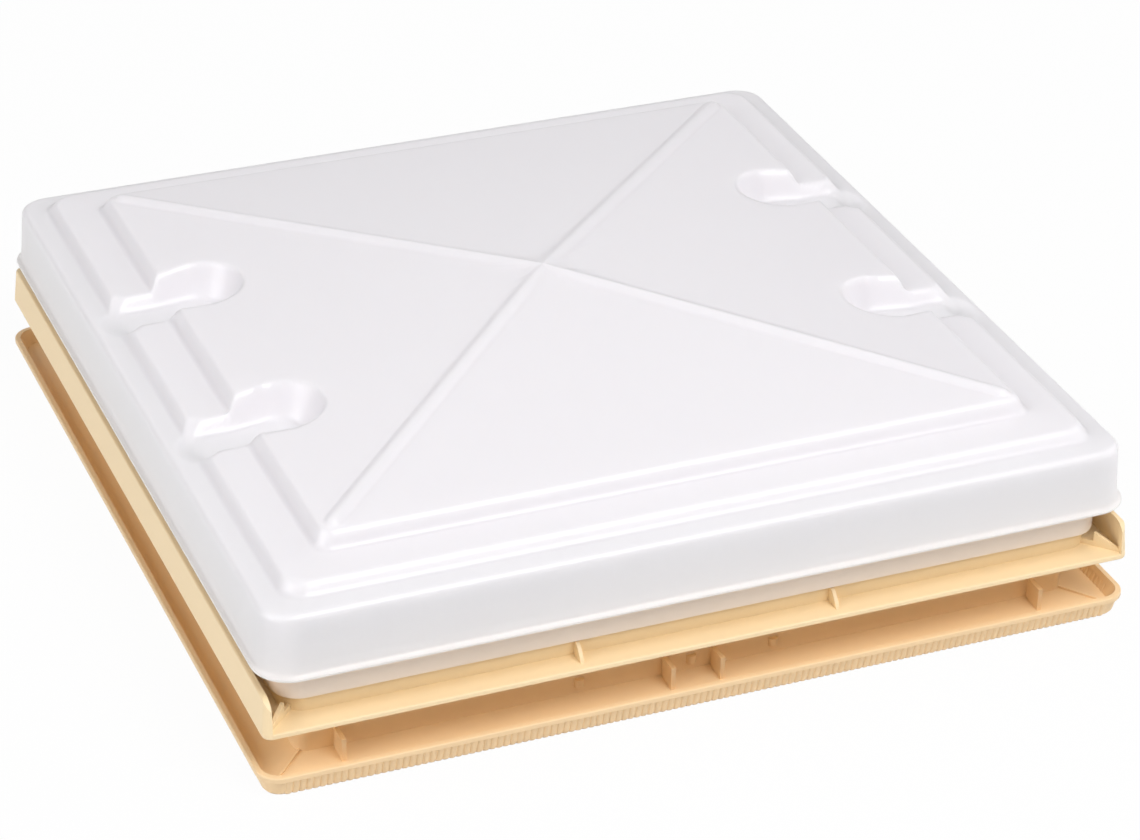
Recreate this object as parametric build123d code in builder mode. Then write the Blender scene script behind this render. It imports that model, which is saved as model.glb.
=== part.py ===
from build123d import *
from math import cos, hypot, radians, tan
import os

# A push-up roof hatch for a caravan, in millimetres, z up.
# The origin is the centre of the trim's base. The near side is -y.

# Hole in the roof and the collar that lines it
cutout = 400.0
collar_gap = 1.5
collar_wall = 2.2
collar_corner = 6.0
collar_top = 36.0

# Inside trim
trim_rim_half = 222.2
trim_rim_top = 11.5
trim_rim_band = 2.5
trim_wall = 2.4
rim_round = 0.8
trim_wall_top_half = 220.9
trim_foot_half = 219.0
trim_toe_half = 217.9
trim_toe_height = 1.4
flute_pitch = 3.3
flute_depth = 0.75
flute_run_half = 210.5
inner_flute_radius = 1.1
inner_flute_depth = 0.5
tray_mitre_thickness = 1.2
tray_mitre_height = 1.4
tray_floor_edge = 4.0
tray_floor_rise = 2.2
tray_floor_thickness = 2.0
web_places = (-179.4, -16.2, 9.1, 178.9)
web_thickness = 2.3
web_reach = 11.5
web_top = 16.8
boss_places = (-59.5, -2.2, 40.5)
boss_radius = 2.4
boss_foot = 10.2
boss_top = 14.4

# Roof flange with its drip walls and upstand
roof_gap = 20.5
flange_half = 220.0
flange_corner = 4.5
flange_thickness = 2.8
flange_round = 0.8
throat_gap = 0.6
drip_wall_height = 16.2
drip_wall_thickness = 2.7
drip_wall_lean = 1.4
drip_wall_front_radius = 9.0
drip_wall_round = 1.0
upstand_half = 206.6
upstand_wall = 2.6
upstand_corner = 12.5
upstand_height = 17.2
gusset_places = (-65.2, 65.2)
gusset_thickness = 1.8
gusset_reach = 9.0
gusset_crest = 1.5
gusset_waist = 0.72
gusset_height = 8.0
fin_thickness = 1.8
fin_outer = 218.2
fin_toe_height = 0.2
fin_crest = 207.4
fin_crest_height = 7.6
fin_inner_height = 2.8

# Outer dome: half widths and heights above the base
lip_z = 60.5
lip_half = 220.5
lip_height = 2.2
lip_round = 0.8
lip_flare = 2.2
skirt_foot_half = 216.9
skirt_half = 216.1
skirt_corner = 14.0
skirt_top = 92.2
ledge_1_half = 203.6
ledge_1_z = 93.3
step_1_half = 201.2
step_1_corner = 11.0
step_1_z = 99.0
ledge_2_half = 180.2
ledge_2_z = 99.6
panel_half = 177.2
panel_corner = 6.0
panel_z = 107.3
crown_z = 121.6
crown_half = 2.0
dome_wall = 3.0
skirt_round = 3.4
step_round = 2.2
panel_round = 2.4
rib_radius = 4.5
rib_sink = 2.3
rib_inset = 3.4

# Four recesses over the hinge brackets: widths at the panel's height, and the lean of their walls
recess_x = 161.0
recess_y = 64.5
recess_radius = 21.2
recess_channel_half = 18.2
recess_lean = 24.0
recess_floor = 92.0
recess_floor_round = 5.0
recess_boss_root = 2.0

# Inner dome
liner_half = 209.8
liner_corner = 13.5
liner_wall = 2.0
liner_bottom = 43.6
liner_top = 88.0
liner_round = 5.0
liner_lip_round = 0.6
bead_bottom = 61.5
bead_height = 3.0
bead_gap = 0.3

# Hinge axes, grips and brackets
axis_x = 186.0
axis_z = 38.0
pin_radius = 2.5
running_fit = 0.1
slack = 0.3
eye_radius = 6.5
arm_thickness = 6.0
bracket_length = 28.0
bracket_width = 40.0
bracket_plate = 3.0
bracket_corner = 4.0
bracket_screw_y = 8.0
grip_half_length = recess_y - arm_thickness / 2 - slack
grip_inner_x = 177.0
grip_outer_x = 194.0
grip_bottom = 31.5
grip_top = 44.5
grip_round = 2.5
pin_grip_depth = 15.0
pin_end_gap = 0.6
pin_head_radius = 4.0
pin_head = 1.6

# Stay bows and their guides
wire_radius = 2.5
bow_pivot_x = 15.0
bow_pivot_z = 32.0
bow_bar_x = 168.0
bow_bar_z = 36.0
bow_leg_y = 186.0
bow_end_y = 195.3
bow_bend = 12.0
bow_elbow = 4.0
clip_half_width = 26.0
clip_thickness = 6.0
clip_height = 11.0
clip_round = 1.5
clip_screw_x = 5.0
clip_screw_z = 31.0
guide_y = 40.0
guide_thickness = 4.0
guide_reach = 45.0
guide_half_height = 9.0
guide_slot_start = 4.8
guide_slot_end = 41.6
guide_slot_height = 9.6
guide_slot_drop = 0.35
guide_foot = 2.5
guide_foot_width = 15.0
guide_screw_y = 5.2
guide_corner = 3.0
screw_bite = 7.0

# Turn buttons and the keepers that they lock under
button_x = 181.5
button_y = 22.0
button_stem_radius = 3.0
button_bar = 20.0
button_bar_width = 6.0
button_bar_height = 6.2
button_gap = 1.25
keeper_top = 27.0
keeper_plate = 3.0
keeper_half_length = 52.0
keeper_inner_x = 168.0
keeper_leg = 2.5
keeper_bottom = 12.5
keeper_screw_y = 42.0
keeper_screw_z = 18.0
pad_half_length = 8.0

# Screws
frame_screw_radius = 2.0
frame_screw_head = 3.8
small_screw_radius = 1.5
small_screw_head = 2.7
head_height = 2.0
screw_fit = 0.05
screw_tip = 0.5
frame_screw_slot = 1.2
frame_screw_rest = 1.6
corner_screw = 187.5
side_screw_x = 190.0
side_screw_y = 120.0
lug_half = 6.0
lug_bottom = 16.0
lug_thickness = 4.0
upper_lug_height = 9.6
spacer_radius = 5.0

# Rubber wiper, flyscreen and its clips
wiper_lip = 0.5
wiper_inside = 0.7
wiper_top = 1.5
wiper_depth = 5.0
screen_bottom = 5.0
screen_height = 6.0
screen_gap = 0.7
screen_round = 0.8
screen_width = 11.6
screen_rebate = 4.8
screen_net_drop = 2.6
net_thickness = 0.8
net_edge = 4.0
net_count = 16
net_strand = 1.6
screen_clip_places = (-95.0, 95.0)
screen_clip_width = 12.0
screen_clip_hook = 5.0
screen_clip_hook_height = 1.2
screen_clip_strip = 9.0

# Heights and half widths that follow from these
collar_half = cutout / 2 - collar_gap
well_half = collar_half - collar_wall
flange_z = trim_rim_top + roof_gap
floor_z = flange_z + flange_thickness
throat_half = collar_half + throat_gap
upstand_inner = upstand_half - upstand_wall
upstand_top = floor_z + upstand_height
drip_wall_top = floor_z + drip_wall_height
upper_lug_z = collar_top + 0.4
plate_top = liner_top - liner_wall
plate_bottom = plate_top - bracket_plate
boss_bottom = liner_top
liner_inner = liner_half - liner_wall

root_two = hypot(1, 1)
sides = (("left", -1), ("right", 1))
ends = (("front", -1), ("back", 1))
pieces = {}


def frustum(*sections):
    """A solid lofted through rounded squares, each a half width, a corner radius and a height."""
    with BuildPart() as block:
        for half, corner, height in sections:
            with BuildSketch(Plane.XY.offset(height)):
                RectangleRounded(2 * half, 2 * half, corner)
        loft(ruled=True)
    return block.part


def square_ring(outer, inner, corner, bottom, top):
    """A square tube with rounded corners, standing between two heights."""
    with BuildPart() as ring:
        with BuildSketch(Plane.XY.offset(bottom)):
            RectangleRounded(2 * outer, 2 * outer, corner)
            RectangleRounded(2 * inner, 2 * inner, max(corner - outer + inner, 0.6), mode=Mode.SUBTRACT)
        extrude(amount=top - bottom)
    return ring.part


def ring_edges(part, height):
    """The level edges of a part at one height."""
    return part.edges().filter_by_position(Axis.Z, height - 0.01, height + 0.01)


def sign(value):
    """The side of an axis that a value lies on."""
    return 1 if value > 0 else -1


def finish(name, part):
    """Label a finished piece and keep it for export."""
    part.label = name
    pieces[name] = part


# Inside trim: a fluted wall round a sloping tray, with the collar rising from the tray
trim_heights = (
    (trim_toe_half, 0.0),
    (trim_foot_half, trim_toe_height),
    (trim_wall_top_half, trim_rim_top - trim_rim_band),
)
flute_count = round(2 * flute_run_half / flute_pitch)
flute_width = 2 * flute_run_half / flute_count


def trim_outline(half):
    """The edges of the trim's outline: flutes along the near and right sides, plain behind and on the left."""
    run = flute_run_half
    bend = half - (half - run) * (1 - cos(radians(45)))
    edges = []
    for index in range(flute_count):
        start = -run + index * flute_width
        middle = start + flute_width / 2
        stop = start + flute_width
        edges.append(ThreePointArc((start, -half), (middle, -half - flute_depth), (stop, -half)))
        edges.append(ThreePointArc((half, start), (half + flute_depth, middle), (half, stop)))
    edges.append(ThreePointArc((run, -half), (bend, -bend), (half, -run)))
    edges.append(ThreePointArc((half, run), (bend, bend), (run, half)))
    edges.append(Line((run, half), (-run, half)))
    edges.append(ThreePointArc((-run, half), (-bend, bend), (-half, run)))
    edges.append(Line((-half, run), (-half, -run)))
    edges.append(ThreePointArc((-half, -run), (-bend, -bend), (-run, -half)))
    return edges


with BuildPart() as fluted_wall:
    for half, height in trim_heights:
        outline = trim_outline(half)
        with BuildSketch(Plane.XY.offset(height)):
            with BuildLine():
                add(outline)
            make_face()
    loft(ruled=True)

tray_inner_half = trim_rim_half - trim_wall
tray_floor_half = trim_foot_half - trim_wall
tray_corner = trim_rim_half - flute_run_half - trim_wall
tray_space = frustum(
    (tray_floor_half, tray_corner, tray_floor_edge),
    (tray_inner_half, tray_corner, trim_rim_top + 1),
)
with BuildPart() as tray_hollow:
    with BuildSketch(Plane.XY.offset(-1)):
        RectangleRounded(2 * tray_floor_half, 2 * tray_floor_half, tray_corner)
    extrude(amount=tray_floor_edge + 1)
    add(tray_space)

tray_floor = frustum(
    (tray_floor_half + 0.5, tray_corner, tray_floor_edge - 1),
    (tray_floor_half + 0.5, tray_corner, tray_floor_edge),
    (collar_half, collar_corner, tray_floor_edge + tray_floor_rise),
)
tray_underside = frustum(
    (tray_floor_half, tray_corner, -1),
    (tray_floor_half, tray_corner, tray_floor_edge - tray_floor_thickness),
    (well_half - 1, collar_corner, tray_floor_edge + tray_floor_rise - tray_floor_thickness),
)
screw_places = [(x * corner_screw, y * corner_screw) for x in (-1, 1) for y in (-1, 1)]
screw_places += [(x * side_screw_x, y * side_screw_y) for x in (-1, 1) for y in (-1, 1)]

with BuildPart() as trim_core:
    add(tray_floor)
    with BuildSketch(Plane.XY.offset(tray_floor_edge)):
        RectangleRounded(2 * collar_half, 2 * collar_half, collar_corner)
    extrude(amount=collar_top - tray_floor_edge)
    for turn in (1, -1):
        with BuildSketch(Plane.XY.offset(tray_floor_edge)):
            for place in web_places:
                with Locations((turn * place, -turn * (collar_half + web_reach / 2))):
                    Rectangle(web_thickness, web_reach)
        extrude(amount=web_top - tray_floor_edge)
        with BuildSketch(Plane.XY.offset(boss_foot)):
            for place in boss_places:
                with Locations((turn * place, -turn * collar_half)):
                    Circle(boss_radius)
        extrude(amount=boss_top - boss_foot)
    for way in (-1, 1):
        mitre = Plane(origin=(0, 0, tray_floor_edge), x_dir=(way, -1, 0), z_dir=(-1, -way, 0))
        with BuildSketch(mitre):
            with BuildLine():
                Polyline(
                    (root_two * (collar_half - collar_corner / 2), tray_floor_rise + tray_mitre_height),
                    (root_two * (tray_floor_half - tray_corner / 2), tray_mitre_height),
                    (root_two * (tray_floor_half - tray_corner / 2), -tray_floor_thickness / 2),
                    (root_two * (collar_half - collar_corner / 2), -tray_floor_thickness / 2),
                    close=True,
                )
            make_face()
        extrude(amount=tray_mitre_thickness / 2, both=True)
    add(tray_underside, mode=Mode.SUBTRACT)
    with BuildSketch(Plane.XY.offset(-1)):
        RectangleRounded(2 * well_half, 2 * well_half, collar_corner - collar_wall)
    extrude(amount=collar_top + 2, mode=Mode.SUBTRACT)
    with BuildSketch(Plane.XY.offset(lug_bottom)):
        for x, y in screw_places:
            with Locations((x, y)):
                Rectangle(2 * lug_half, 2 * lug_half)
            reach = collar_half - abs(x)
            with Locations((x + reach / 2 * sign(x), y + (reach / 2 * sign(y) if abs(y) == corner_screw else 0))):
                Rectangle(reach + 0.01, reach if abs(y) == corner_screw else 2 * lug_half)
        RectangleRounded(2 * collar_half - 2, 2 * collar_half - 2, collar_corner - 1, mode=Mode.INTERSECT)
    extrude(amount=lug_thickness)
    with Locations(*[(x, y, lug_bottom) for x, y in screw_places]):
        Cylinder(frame_screw_radius + running_fit, 4 * lug_thickness, mode=Mode.SUBTRACT)
    with BuildSketch(Plane.YZ):
        with Locations((keeper_screw_y, keeper_screw_z), (-keeper_screw_y, keeper_screw_z)):
            Circle(small_screw_radius + screw_fit)
    extrude(amount=collar_half + 1, both=True, mode=Mode.SUBTRACT)
    with BuildSketch(Plane.XZ):
        with Locations((clip_screw_x, clip_screw_z), (-clip_screw_x, clip_screw_z)):
            Circle(small_screw_radius + screw_fit)
    extrude(amount=collar_half + 1, both=True, mode=Mode.SUBTRACT)

# The right wall is fluted on its inner face too, as far up as the rim's band
wall_lean = Vector(tray_inner_half - tray_floor_half, 0, trim_rim_top + 1 - tray_floor_edge)
wall_foot = Plane(origin=(tray_floor_half, 0, tray_floor_edge), x_dir=(0, 1, 0), z_dir=wall_lean)
inner_flute_top = trim_rim_top - trim_rim_band - tray_floor_edge
with BuildPart() as inner_flutes:
    with BuildSketch(wall_foot):
        with GridLocations(flute_width, 0, flute_count - 2, 1):
            with Locations((0, inner_flute_radius - inner_flute_depth)):
                Circle(inner_flute_radius)
    extrude(amount=inner_flute_top)

with BuildPart() as lower_frame:
    add(fluted_wall.part)
    with BuildSketch(Plane.XY.offset(trim_rim_top - trim_rim_band)):
        RectangleRounded(2 * trim_rim_half, 2 * trim_rim_half, trim_rim_half - flute_run_half)
    extrude(amount=trim_rim_band)
    fillet(ring_edges(lower_frame.part, trim_rim_top), rim_round)
    add(tray_hollow.part, mode=Mode.SUBTRACT)
    add(inner_flutes.part, mode=Mode.SUBTRACT)
    add(trim_core.part)
finish("lower_frame", lower_frame.part)

# Roof flange: upstand, drip walls on three sides, gussets and corner fins
drip_walls_outside = frustum(
    (flange_half, flange_corner, floor_z - 1),
    (flange_half - drip_wall_lean, flange_corner, drip_wall_top),
)
drip_walls_inside = frustum(
    (flange_half - drip_wall_thickness, flange_corner - 2, floor_z - 1),
    (flange_half - drip_wall_lean - drip_wall_thickness, flange_corner - 2, drip_wall_top + 0.01),
)
wall_inner = flange_half - drip_wall_lean - drip_wall_thickness
fin_root = upstand_half - upstand_corner * 0.3

with BuildPart() as drip_walls:
    add(drip_walls_outside)
    fillet(ring_edges(drip_walls.part, drip_wall_top), drip_wall_round)
    add(drip_walls_inside, mode=Mode.SUBTRACT)
    with Locations((0, -flange_half, floor_z)):
        Box(2 * wall_inner, 2 * flange_thickness + 10, 4 * drip_wall_height, mode=Mode.SUBTRACT)
    with BuildSketch(Plane.YZ):
        with BuildLine():
            Polyline(
                (-flange_half, drip_wall_top - drip_wall_front_radius),
                (-flange_half - 1, drip_wall_top - drip_wall_front_radius),
                (-flange_half - 1, drip_wall_top + 1),
                (-flange_half + drip_wall_front_radius, drip_wall_top + 1),
                (-flange_half + drip_wall_front_radius, drip_wall_top),
            )
            RadiusArc(
                (-flange_half + drip_wall_front_radius, drip_wall_top),
                (-flange_half, drip_wall_top - drip_wall_front_radius),
                -drip_wall_front_radius,
            )
        make_face()
    extrude(amount=flange_half + 1, both=True, mode=Mode.SUBTRACT)

with BuildPart() as upper_frame:
    with BuildSketch(Plane.XY.offset(flange_z)):
        RectangleRounded(2 * flange_half, 2 * flange_half, flange_corner)
    extrude(amount=flange_thickness)
    fillet(ring_edges(upper_frame.part, flange_z), flange_round)
    fillet(ring_edges(upper_frame.part, floor_z).sort_by(Axis.Y)[0], flange_round)
    add(drip_walls.part)
    add(square_ring(upstand_half, upstand_inner, upstand_corner, floor_z - 1, upstand_top))
    with BuildSketch(Plane.XY.offset(flange_z - 1)):
        RectangleRounded(2 * throat_half, 2 * throat_half, collar_corner + throat_gap)
    extrude(amount=flange_thickness + 1, mode=Mode.SUBTRACT)
    for place in gusset_places:
        with BuildSketch(Plane.YZ.offset(place)):
            with BuildLine():
                Polyline(
                    (-upstand_half - gusset_reach, floor_z - 0.5),
                    (-upstand_half + 0.5, floor_z - 0.5),
                    (-upstand_half + 0.5, floor_z + gusset_height),
                    (-upstand_half - gusset_crest, floor_z + gusset_height),
                )
                ThreePointArc(
                    (-upstand_half - gusset_crest, floor_z + gusset_height),
                    (-upstand_half - gusset_waist * gusset_reach, floor_z + gusset_height / 2),
                    (-upstand_half - gusset_reach, floor_z - 0.5),
                )
            make_face()
        extrude(amount=gusset_thickness / 2, both=True)
    for way in (-1, 1):
        diagonal = Plane(origin=(0, 0, floor_z), x_dir=(way, -1, 0), z_dir=(-1, -way, 0))
        with BuildSketch(diagonal):
            with BuildLine():
                Polyline(
                    (root_two * fin_root, -0.5),
                    (root_two * fin_outer, -0.5),
                    (root_two * fin_outer, fin_toe_height),
                    (root_two * fin_crest, fin_crest_height),
                    (root_two * fin_crest, fin_inner_height),
                    (root_two * fin_root, fin_inner_height),
                    close=True,
                )
            make_face()
        extrude(amount=fin_thickness / 2, both=True)
    with BuildSketch(Plane.XY.offset(upper_lug_z)):
        for x, y in screw_places:
            with Locations((x, y)):
                Rectangle(2 * lug_half, 2 * lug_half)
            reach = upstand_half - abs(x)
            with Locations((x + reach / 2 * sign(x), y + (reach / 2 * sign(y) if abs(y) == corner_screw else 0))):
                Rectangle(reach, reach if abs(y) == corner_screw else 2 * lug_half)
        RectangleRounded(2 * upstand_half - 2, 2 * upstand_half - 2, upstand_corner - 1, mode=Mode.INTERSECT)
    extrude(amount=upper_lug_height)
    with Locations(*[(x, y, upper_lug_z) for x, y in screw_places]):
        Cylinder(frame_screw_radius + screw_fit, 2 * (upper_lug_height - frame_screw_rest), mode=Mode.SUBTRACT)
finish("upper_frame", upper_frame.part)

with BuildPart() as frame_screws:
    with Locations(*[(x, y, lug_bottom - head_height / 2) for x, y in screw_places]):
        Cylinder(frame_screw_head, head_height)
        Box(2 * (frame_screw_head - 1), frame_screw_slot, head_height, mode=Mode.SUBTRACT)
    with BuildSketch(Plane.XY.offset(lug_bottom - head_height / 2)):
        with Locations(*screw_places):
            Circle(frame_screw_radius)
    extrude(amount=upper_lug_z + upper_lug_height - frame_screw_rest - lug_bottom)
finish("frame_screws", frame_screws.part)

# Rubber wiper capping the upstand
wiper_z = upstand_top - wiper_depth
with BuildPart() as weather_seal:
    add(square_ring(
        upstand_half + wiper_lip,
        upstand_inner - wiper_inside,
        upstand_corner + wiper_lip,
        wiper_z,
        upstand_top + wiper_top,
    ))
    add(square_ring(upstand_half, upstand_inner, upstand_corner, wiper_z - 1, upstand_top), mode=Mode.SUBTRACT)
finish("weather_seal", weather_seal.part)

for side, way in sides:
    # Keeper: a slotted shelf on the collar that carries the grip and takes the turn buttons
    shelf_width = well_half - keeper_inner_x
    with BuildPart() as keeper:
        with BuildSketch(Plane.XY.offset(keeper_top - keeper_plate)):
            with Locations((way * (keeper_inner_x + shelf_width / 2), 0)):
                Rectangle(shelf_width, 2 * keeper_half_length)
            with Locations((way * button_x, button_y), (way * button_x, -button_y)):
                Rectangle(
                    button_bar_width + 2 * button_gap,
                    button_bar + 2 * button_gap,
                    mode=Mode.SUBTRACT,
                )
        extrude(amount=keeper_plate)
        with BuildSketch(Plane.XY.offset(keeper_bottom)):
            with Locations((way * (well_half - keeper_leg / 2), 0)):
                Rectangle(keeper_leg, 2 * keeper_half_length)
        extrude(amount=keeper_top - keeper_bottom)
        with BuildSketch(Plane.XY.offset(keeper_top)):
            with Locations((way * axis_x, 0)):
                Rectangle(2 * eye_radius, 2 * pad_half_length)
        extrude(amount=grip_bottom - slack - keeper_top)
        with BuildSketch(Plane.YZ):
            with Locations((keeper_screw_y, keeper_screw_z), (-keeper_screw_y, keeper_screw_z)):
                Circle(small_screw_radius + running_fit)
        extrude(amount=way * (well_half + 1), mode=Mode.SUBTRACT)
    finish(f"{side}_keeper", keeper.part)

with BuildPart() as keeper_screws:
    for way in (-1, 1):
        for place in (-keeper_screw_y, keeper_screw_y):
            face = Plane(origin=(way * (well_half - keeper_leg), place, keeper_screw_z), z_dir=(-way, 0, 0))
            with BuildSketch(face):
                Circle(small_screw_head)
            extrude(amount=head_height)
            with BuildSketch(face):
                Circle(small_screw_radius)
            extrude(amount=-(keeper_leg + collar_wall + screw_tip))
finish("keeper_screws", keeper_screws.part)

for end, way in ends:
    # Stay clip: a block on the collar with a bore for each bow's end
    with BuildPart() as stay_clip:
        with Locations((0, way * (well_half - clip_thickness / 2), collar_top - clip_height / 2)):
            Box(2 * clip_half_width, clip_thickness, clip_height)
        fillet(stay_clip.part.edges().filter_by(Axis.Y), clip_round)
        with BuildSketch(Plane.XZ):
            with Locations((bow_pivot_x, bow_pivot_z), (-bow_pivot_x, bow_pivot_z)):
                Circle(wire_radius + running_fit)
            with Locations((clip_screw_x, clip_screw_z), (-clip_screw_x, clip_screw_z)):
                Circle(small_screw_radius + running_fit)
        extrude(amount=-way * (well_half + 1), mode=Mode.SUBTRACT)
    finish(f"{end}_stay_clip", stay_clip.part)

with BuildPart() as stay_clip_screws:
    for way in (-1, 1):
        for place in (-clip_screw_x, clip_screw_x):
            face = Plane(origin=(place, way * (well_half - clip_thickness), clip_screw_z), z_dir=(0, -way, 0))
            with BuildSketch(face):
                Circle(small_screw_head)
            extrude(amount=head_height)
            with BuildSketch(face):
                Circle(small_screw_radius)
            extrude(amount=-(clip_thickness + collar_wall + screw_tip))
finish("stay_clip_screws", stay_clip_screws.part)

# Flyscreen: a rebated frame with a flat net, held in the well by spring clips
screen_half = well_half - screen_gap
net_half = screen_half - screen_width + net_edge
net_z = screen_bottom + screen_height - screen_net_drop
with BuildPart() as flyscreen_frame:
    add(square_ring(screen_half, screen_half - screen_width, collar_corner, screen_bottom,
                    screen_bottom + screen_height))
    fillet(ring_edges(flyscreen_frame.part, screen_bottom), screen_round)
    with BuildSketch(Plane.XY.offset(net_z)):
        Rectangle(2 * (net_half + slack), 2 * (net_half + slack))
    extrude(amount=screen_net_drop + 1, mode=Mode.SUBTRACT)
finish("flyscreen_frame", flyscreen_frame.part)

net_pitch = 2 * (net_half - net_edge) / net_count
with BuildPart() as flyscreen_net:
    with BuildSketch(Plane.XY.offset(net_z)):
        Rectangle(2 * net_half, 2 * net_half)
        with GridLocations(net_pitch, net_pitch, net_count, net_count):
            Rectangle(net_pitch - net_strand, net_pitch - net_strand, mode=Mode.SUBTRACT)
    extrude(amount=net_thickness)
finish("flyscreen_net", flyscreen_net.part)

strip_thickness = screen_gap - 0.05
hook_z = screen_bottom - 0.2 - screen_clip_hook_height
with BuildPart() as flyscreen_clips:
    for place in screen_clip_places:
        for turn in range(4):
            wall = Plane.XY.offset(hook_z).rotated((0, 0, 90 * turn))
            with BuildSketch(wall):
                with Locations((well_half - screen_clip_hook / 2, place)):
                    Rectangle(screen_clip_hook, screen_clip_width)
            extrude(amount=screen_clip_hook_height)
            with BuildSketch(wall):
                with Locations((well_half - strip_thickness / 2, place)):
                    Rectangle(strip_thickness, screen_clip_width)
            extrude(amount=screen_clip_strip)
finish("flyscreen_clips", flyscreen_clips.part)


# Outer dome: a stepped opal shell with four recesses, a crowned panel and crossed ribs
def dome_steps(inset):
    """The sections of the dome's slope, moved inwards and down by the inset."""
    steps = (
        (skirt_foot_half, skirt_corner, lip_z + inset),
        (skirt_half, skirt_corner, skirt_top),
        (ledge_1_half, step_1_corner, ledge_1_z),
        (step_1_half, step_1_corner, step_1_z),
        (ledge_2_half, panel_corner, ledge_2_z),
        (panel_half, panel_corner, panel_z),
        (crown_half + inset, 1.0 + inset, crown_z),
    )
    return [(half - inset, max(corner - inset, 0.8), height - inset) for half, corner, height in steps]


dome_form = frustum(*dome_steps(0))
dome_space = frustum((skirt_foot_half - dome_wall, skirt_corner - dome_wall, lip_z - 1), *dome_steps(dome_wall))
recess_places = [(x * recess_x, y * recess_y) for x in (-1, 1) for y in (-1, 1)]
recess_end = lip_half + 5
recess_roof = crown_z + rib_radius


def recess(x, y, grow):
    """The space of one recess, grown all round: a leaning bowl with a channel that runs out over the skirt."""
    floor = recess_floor - grow
    lean = tan(radians(recess_lean))
    bowl_foot = recess_radius + grow - lean * (panel_z - floor)
    bowl_brim = recess_radius + grow + lean * (recess_roof - panel_z)
    channel_foot = bowl_foot - recess_radius + recess_channel_half
    channel_brim = bowl_brim - recess_radius + recess_channel_half
    with BuildPart() as space:
        with BuildSketch(Plane.XZ.offset(-y)) as bowl:
            with BuildLine():
                Polyline(
                    (x, floor),
                    (x + bowl_foot, floor),
                    (x + bowl_brim, recess_roof),
                    (x, recess_roof),
                    close=True,
                )
            make_face()
            outer_foot = bowl.vertices().group_by(Axis.Z)[0].sort_by(Axis.X)[-1]
            fillet(outer_foot, recess_floor_round + grow)
        revolve(axis=Axis((x, y, 0), (0, 0, 1)))
        with BuildSketch(Plane.YZ.offset(x)) as channel:
            with BuildLine():
                Polyline(
                    (y - channel_foot, floor),
                    (y + channel_foot, floor),
                    (y + channel_brim, recess_roof),
                    (y - channel_brim, recess_roof),
                    close=True,
                )
            make_face()
            fillet(channel.vertices().group_by(Axis.Z)[0], recess_floor_round + grow)
        extrude(amount=sign(x) * (recess_end - recess_x))
    return space.part


with BuildPart() as dome_hollow:
    add(dome_space)
    for x, y in recess_places:
        add(recess(x, y, dome_wall), mode=Mode.SUBTRACT)

# The lip flares out of the skirt: one side and one corner of it, repeated four times
straight = skirt_foot_half - skirt_corner
flare_top = lip_z + lip_height + lip_flare
with BuildPart() as lip_quarter:
    with BuildSketch(Plane.XZ.offset(-straight)) as lip_section:
        with BuildLine():
            Polyline(
                (skirt_foot_half, flare_top),
                (skirt_foot_half - dome_wall / 2, flare_top),
                (skirt_foot_half - dome_wall / 2, lip_z),
                (lip_half, lip_z),
                (lip_half, lip_z + lip_height - lip_round),
            )
            RadiusArc(
                (lip_half, lip_z + lip_height - lip_round),
                (lip_half - lip_round, lip_z + lip_height),
                -lip_round,
            )
            Line((lip_half - lip_round, lip_z + lip_height), (skirt_foot_half + lip_flare, lip_z + lip_height))
            RadiusArc((skirt_foot_half + lip_flare, lip_z + lip_height), (skirt_foot_half, flare_top), lip_flare)
        make_face()
    extrude(amount=2 * straight)
    revolve(lip_section.sketch, axis=Axis((straight, straight, 0), (0, 0, 1)), revolution_arc=90)

with BuildPart() as outer_dome:
    add(dome_form)
    fillet(ring_edges(outer_dome.part, panel_z), panel_round)
    fillet(ring_edges(outer_dome.part, step_1_z), step_round)
    fillet(ring_edges(outer_dome.part, skirt_top), skirt_round)
    for turn in range(4):
        add(lip_quarter.part.rotate(Axis.Z, 90 * turn))
    for x, y in recess_places:
        add(recess(x, y, 0), mode=Mode.SUBTRACT)
    rib_end = panel_half - rib_inset
    rib_foot_z = panel_z + (crown_z - panel_z) * rib_inset / panel_half - rib_sink
    for x, y in ((1, 1), (1, -1), (-1, 1), (-1, -1)):
        end = Vector(x * rib_end, y * rib_end, rib_foot_z)
        to_crown = Vector(0, 0, crown_z - rib_sink) - end
        with BuildSketch(Plane(origin=end, z_dir=to_crown)):
            Circle(rib_radius)
        extrude(amount=to_crown.length)
        with Locations(end):
            Sphere(rib_radius)
    with Locations((0, 0, crown_z - rib_sink)):
        Sphere(rib_radius)
    add(dome_hollow.part, mode=Mode.SUBTRACT)
    for x, y in recess_places:
        with BuildSketch(Plane.XY.offset(boss_bottom)):
            with Locations((x, y - bracket_screw_y), (x, y + bracket_screw_y)):
                Circle(spacer_radius)
        extrude(amount=recess_floor - dome_wall + recess_boss_root - boss_bottom)
    with BuildSketch(Plane.XY.offset(boss_bottom)):
        for x, y in recess_places:
            with Locations((x, y - bracket_screw_y), (x, y + bracket_screw_y)):
                Circle(small_screw_radius + screw_fit)
    extrude(amount=recess_floor - dome_wall - boss_bottom + 1, mode=Mode.SUBTRACT)
finish("outer_dome", outer_dome.part)

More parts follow.
